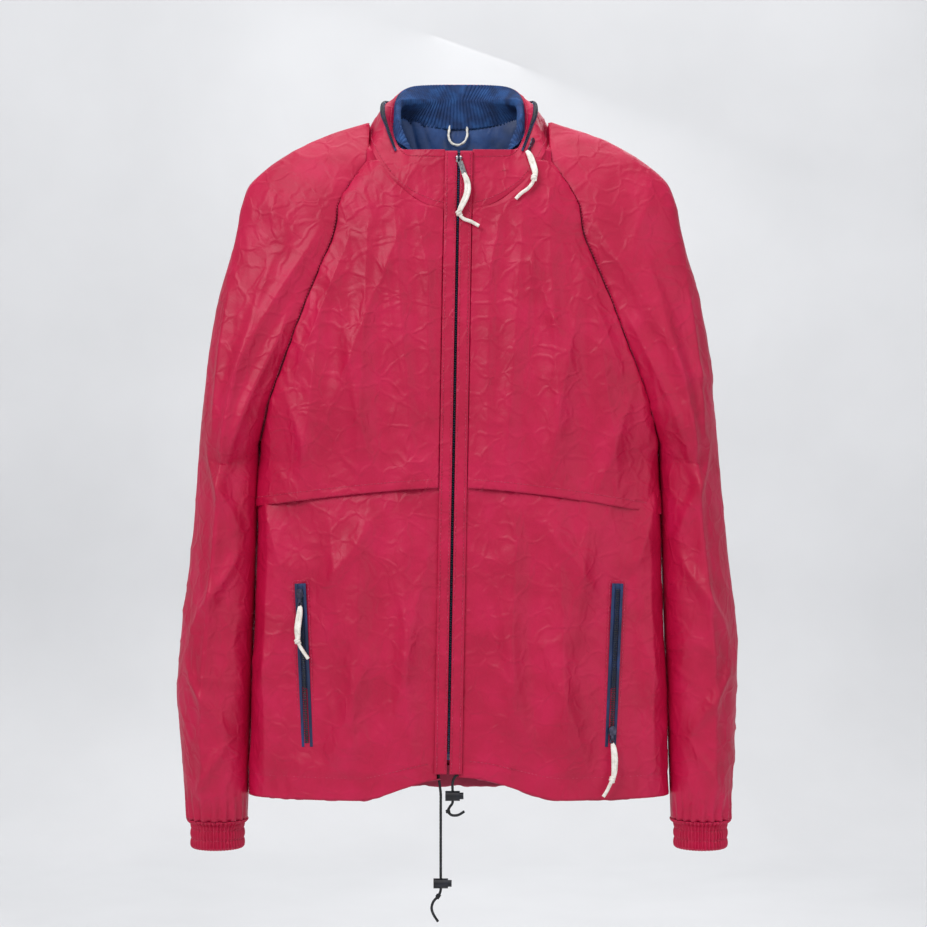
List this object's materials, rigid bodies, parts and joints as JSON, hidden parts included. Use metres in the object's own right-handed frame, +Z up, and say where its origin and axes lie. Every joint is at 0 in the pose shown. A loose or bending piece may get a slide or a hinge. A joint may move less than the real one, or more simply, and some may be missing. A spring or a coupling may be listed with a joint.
{
  "type": "foul weather jacket",
  "caption": "Nylon foul weather jacket with raglan sleeves, lifting storm flaps, stand collar that stows a hood, zipped front and pockets, and a hem drawcord with cord locks.",
  "frame": {"origin": "neck centre, level with the shoulder line, where a hanger's hook rises", "axes": "+Z up along the hanging jacket, -Y out of the front, +X towards the wearer's left"},
  "size_m": [0.6176, 0.1394, 0.9395],
  "materials": {
    "crimson_nylon": "satin",
    "navy_lining": "satin",
    "navy_rib": "ribbed knit",
    "navy_tape": "woven tape",
    "zip_coil": "moulded nylon",
    "zip_metal": "lacquered",
    "stop_metal": "satin",
    "white_cord": "braided cotton",
    "black_cord": "braided elastic",
    "lock_plastic": "moulded",
    "cuff_elastic": "woven elastic",
    "label_cloth": "woven"
  },
  "bodies": {
    "torso": {"front_panel_left": "crimson_nylon", "front_panel_right": "crimson_nylon", "back_panel": "crimson_nylon", "shoulder_left": "crimson_nylon", "shoulder_right": "crimson_nylon", "yoke_left": "crimson_nylon", "yoke_right": "crimson_nylon", "front_lining": "navy_lining", "back_lining": "navy_lining", "collar_shell": "crimson_nylon", "collar_lining": "navy_rib", "stowed_hood": "navy_lining", "collar_zip_tape": "navy_tape", "collar_zip_coil": "zip_coil", "placket_left": "crimson_nylon", "placket_right": "crimson_nylon", "front_zip_tapes": "navy_tape", "front_zip_coils": "zip_coil", "front_zip_stop": "stop_metal", "pocket_welt_left": "navy_tape", "pocket_welt_right": "navy_tape", "pocket_coil_left": "zip_coil", "pocket_coil_right": "zip_coil", "pocket_bag_left": "navy_lining", "pocket_bag_right": "navy_lining", "hem_facing": "crimson_nylon", "hem_drawcord": "black_cord", "hang_loop": "white_cord", "neck_label": "label_cloth", "drawcord_long_end": "black_cord", "drawcord_short_end": "black_cord", "drawcord_long_knot": "black_cord", "drawcord_short_knot": "black_cord"},
    "storm_flap_left": {"storm_flap_left": "crimson_nylon"},
    "storm_flap_right": {"storm_flap_right": "crimson_nylon"},
    "sleeve_left": {"sleeve_left": "crimson_nylon", "cuff_left": "crimson_nylon", "cuff_elastic_left": "cuff_elastic"},
    "sleeve_right": {"sleeve_right": "crimson_nylon", "cuff_right": "crimson_nylon", "cuff_elastic_right": "cuff_elastic"},
    "front_slider": {"front_slider": "zip_metal"},
    "front_pull": {"front_pull_tab": "zip_metal", "front_pull_cord": "white_cord", "front_pull_knot": "white_cord"},
    "collar_slider": {"collar_slider": "zip_metal", "collar_pull_cord": "white_cord", "collar_pull_knot": "white_cord"},
    "pocket_slider_left": {"pocket_slider_left": "zip_metal", "pocket_cord_left": "white_cord", "pocket_knot_left": "white_cord"},
    "pocket_slider_right": {"pocket_slider_right": "zip_metal", "pocket_cord_right": "white_cord", "pocket_knot_right": "white_cord"},
    "lock_long": {"lock_barrel_long": "lock_plastic"},
    "lock_short": {"lock_barrel_short": "lock_plastic"},
    "lock_button_long": {"lock_button_long": "lock_plastic"},
    "lock_button_short": {"lock_button_short": "lock_plastic"}
  },
  "joints": [
    {"name": "sleeve_left_lift", "type": "hinge", "parent": "torso", "child": "sleeve_left", "pos_m": [0.245, 0, -0.095], "axis": [0, -1, 0], "range_deg": [0, 60]},
    {"name": "sleeve_right_lift", "type": "hinge", "parent": "torso", "child": "sleeve_right", "pos_m": [-0.245, 0, -0.095], "axis": [0, 1, 0], "range_deg": [0, 60]},
    {"name": "storm_flap_left_lift", "type": "hinge", "parent": "torso", "child": "storm_flap_left", "pos_m": [0, -0.0635, -0.205], "axis": [-1, 0, 0], "range_deg": [0, 35]},
    {"name": "storm_flap_right_lift", "type": "hinge", "parent": "torso", "child": "storm_flap_right", "pos_m": [0, -0.0635, -0.205], "axis": [-1, 0, 0], "range_deg": [0, 35]},
    {"name": "front_zip_slide", "type": "slide", "parent": "torso", "child": "front_slider", "axis": [-0.0175, 0, -0.9998], "range_m": [0, 0.64]},
    {"name": "front_pull_swing", "type": "hinge", "parent": "front_slider", "child": "front_pull", "pos_m": [-0.00014, -0.068, -0.044], "axis": [-0.9998, 0, 0.0175], "range_deg": [0, 110]},
    {"name": "collar_zip_slide", "type": "slide", "parent": "torso", "child": "collar_slider", "axis": [0.3357, 0.4651, 0.8192], "range_m": [0, 0.008]},
    {"name": "pocket_left_slide", "type": "slide", "parent": "torso", "child": "pocket_slider_left", "axis": [0.0444, 0.0172, 0.9989], "range_m": [0, 0.145]},
    {"name": "pocket_right_slide", "type": "slide", "parent": "torso", "child": "pocket_slider_right", "axis": [0.0444, -0.0172, -0.9989], "range_m": [0, 0.145]},
    {"name": "lock_long_slide", "type": "slide", "parent": "torso", "child": "lock_long", "axis": [0, 0, 1], "range_m": [0, 0.05]},
    {"name": "lock_short_slide", "type": "slide", "parent": "torso", "child": "lock_short", "axis": [0, 0, 1], "range_m": [0, 0.006]},
    {"name": "lock_button_long_press", "type": "slide", "parent": "lock_long", "child": "lock_button_long", "axis": [-1, 0, 0], "range_m": [0, 0.0028], "stiffness_N_per_m": 400, "springref_m": -0.001},
    {"name": "lock_button_short_press", "type": "slide", "parent": "lock_short", "child": "lock_button_short", "axis": [-1, 0, 0], "range_m": [0, 0.0028], "stiffness_N_per_m": 400, "springref_m": -0.001}
  ]
}
